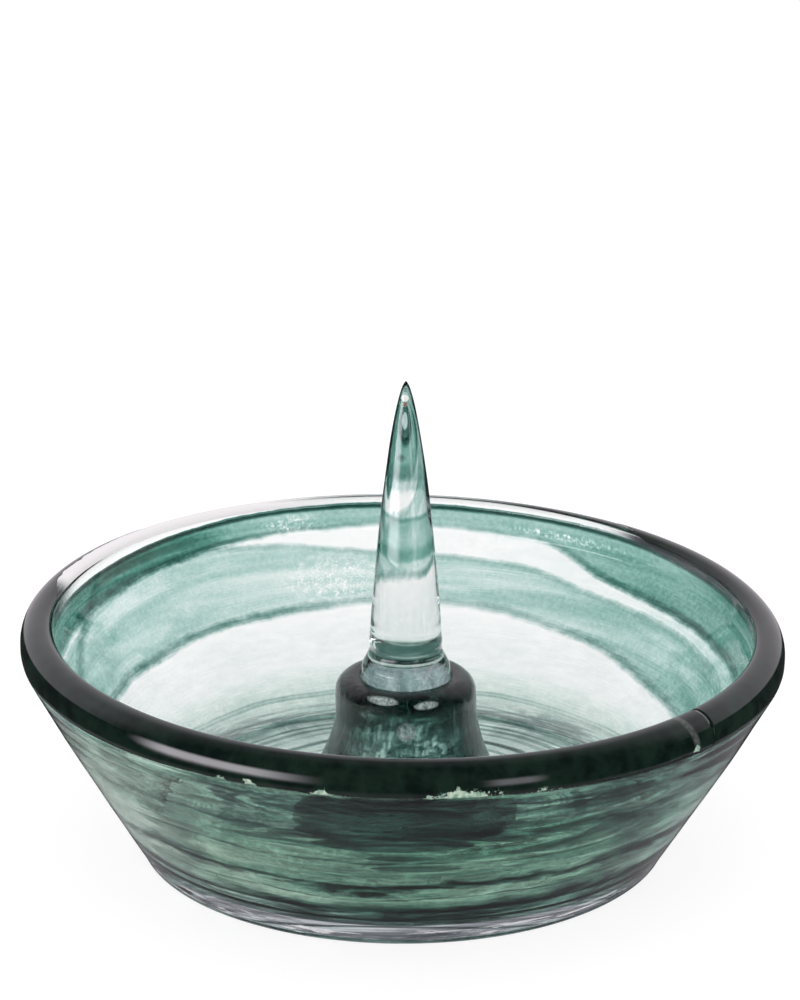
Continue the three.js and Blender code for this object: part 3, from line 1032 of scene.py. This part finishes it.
def right_bounds(degrees):
    """From the seam round the right, drawing back to the crest and tapering out at the back."""
    inner = 0.5 * smooth(42, 57, degrees)
    outer = 0.94 - 0.44 * smooth(-12, 22, degrees) + ragged(math.radians(degrees), 5.0, 0.05)
    return min(inner, outer), min(outer, 1.0)


casing = bowl_casing()
lining = colour_lining()
boss = spike_boss()
spike_piece = spike()
front_wrap = lip_wrap("lip_wrap_front_glass", FRONT_WRAP_START, 360 + SEAM - SEAM_GAP, front_bounds)
right_wrap = lip_wrap("lip_wrap_right_glass", SEAM + SEAM_GAP, RIGHT_WRAP_END, right_bounds)

for piece, slot, nodes in (
    (casing, "clear_glass", ("bowl_casing", "lip_wrap_back")),
    (lining, "teal_glass", ("colour_lining",)),
    (boss, "bottle_green_glass", ("spike_boss",)),
    (spike_piece, "clear_glass", ("spike",)),
    (front_wrap, "black_glass", ("lip_wrap_front",)),
    (right_wrap, "black_glass", ("lip_wrap_right",)),
):
    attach(piece, "root")
    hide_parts(*nodes)


# ---- stage, light and camera ----
FLOOR_HALF = 6.0
FLOOR_DROP = 0.05  # mm under the dish, so that the two faces don't flicker
FLOOR_GLOW = 0.84  # light that the floor gives off, so that shadows on it stay pale
FLOOR_GREY = 0.26  # its own colour, which takes the shadows
WINDOW_LIGHT = 8.0
SIDE_LIGHT = 2.6
LAVENDER = (1.0, 0.94, 1.01)  # the tint of mirror reflections
TABLE_HAZE = 0.28  # brightness of the table in mirror reflections
CAMERA_DISTANCE = 0.8
CAMERA_ELEVATION = math.radians(22.68)
CAMERA_RISE = 0.02  # height of the point that the camera's distance is measured from
CAMERA_LENS = 171.4
CAMERA_AIM = Vector((-0.00052, 0, 0.0599))


def floor_stage():
    """A pale floor that glows a little and leaves mirror reflections to the world."""
    half = FLOOR_HALF
    mesh = bpy.data.meshes.new("floor")
    mesh.from_pydata([(-half, -half, 0), (half, -half, 0), (half, half, 0), (-half, half, 0)],
                     [], [(0, 1, 2, 3)])
    n = new_material("floor")
    lit = n.node("Emission")
    lit.inputs["Color"].default_value = (1, 1, 1, 1)
    lit.inputs["Strength"].default_value = FLOOR_GLOW
    matt = n.node("BsdfDiffuse")
    matt.inputs["Color"].default_value = (FLOOR_GREY, FLOOR_GREY, FLOOR_GREY, 1)
    both = n.node("AddShader")
    n.put(both.inputs[0], lit.outputs[0])
    n.put(both.inputs[1], matt.outputs[0])
    n.show(both)
    mesh.materials.append(n.owner)
    floor = bpy.data.objects.new("floor", mesh)
    bpy.context.scene.collection.objects.link(floor)
    floor.location.z = -FLOOR_DROP * MM
    floor.visible_glossy = False


def studio_world():
    """White all round for sight and soft light; mirror reflections see a white wall behind,
    a dark room in front and a long window at the front left."""
    world = bpy.data.worlds.new("studio")
    bpy.context.scene.world = world
    n = Nodes(world, "OutputWorld")
    parts = n.node("SeparateXYZ")
    n.put(parts.inputs[0], n.node("TexCoord").outputs["Generated"])
    x, y, z = parts.outputs
    bearing = n.math("ARCTAN2", y, x)

    def facing(fade_in, fade_out):
        """1 between two bearings in degrees, fading in before and out after them."""
        start = n.ramp(bearing, *(math.radians(a) for a in fade_in))
        stop = n.ramp(bearing, *(math.radians(a) for a in fade_out), 1.0, 0.0)
        return n.times(start, stop)

    wall = n.times(n.ramp(y, -0.15, 0.45, 0.02, 1.0), n.ramp(z, 0.55, 0.9, 1.0, 0.25))
    skirt = n.scaled(n.math("ABSOLUTE", x), -0.62, n.plus(z, 0.386))
    wall = n.times(wall, n.ramp(skirt, -0.04, 0.03, 0.03, 0.8))
    wall = n.math("MAXIMUM", wall, n.ramp(z, -0.52, -0.42, TABLE_HAZE, 0.0))
    low = n.times(n.ramp(z, -0.40, -0.12), n.ramp(z, 0.08, 0.36, 1.0, 0.0))
    window = n.times(facing((-176, -160), (-136, -110)), low, WINDOW_LIGHT)
    side_light = n.times(facing((-68, -60), (-54, -46)), low, SIDE_LIGHT)
    room = n.plus(wall, window, side_light)
    mirror = n.node("LightPath").outputs["Is Glossy Ray"]
    background = n.node("Background")
    n.put(background.inputs["Strength"], n.plus(n.times(room, mirror), n.minus(1.0, mirror)))
    tint = n.colour(*(n.scaled(mirror, part - 1, 1.0) for part in LAVENDER))
    n.put(background.inputs["Color"], tint)
    n.show(background)
    world.cycles.sampling_method = "NONE"


def camera():
    """A long-lens view from a little above the dish, aimed over its middle."""
    data = bpy.data.cameras.new("camera")
    data.lens = CAMERA_LENS
    data.clip_start = 0.05
    data.clip_end = 50
    eye = bpy.data.objects.new("camera", data)
    bpy.context.scene.collection.objects.link(eye)
    back = -CAMERA_DISTANCE * math.cos(CAMERA_ELEVATION)
    up = CAMERA_RISE + CAMERA_DISTANCE * math.sin(CAMERA_ELEVATION)
    eye.location = (0, back, up)
    eye.rotation_euler = (CAMERA_AIM - eye.location).to_track_quat("-Z", "Y").to_euler()
    bpy.context.scene.camera = eye


floor_stage()
studio_world()
camera()
scene = bpy.context.scene
scene.view_settings.view_transform = "Standard"
scene.cycles.max_bounces = 32
scene.cycles.transmission_bounces = 32
scene.cycles.glossy_bounces = 16
scene.cycles.transparent_max_bounces = 64
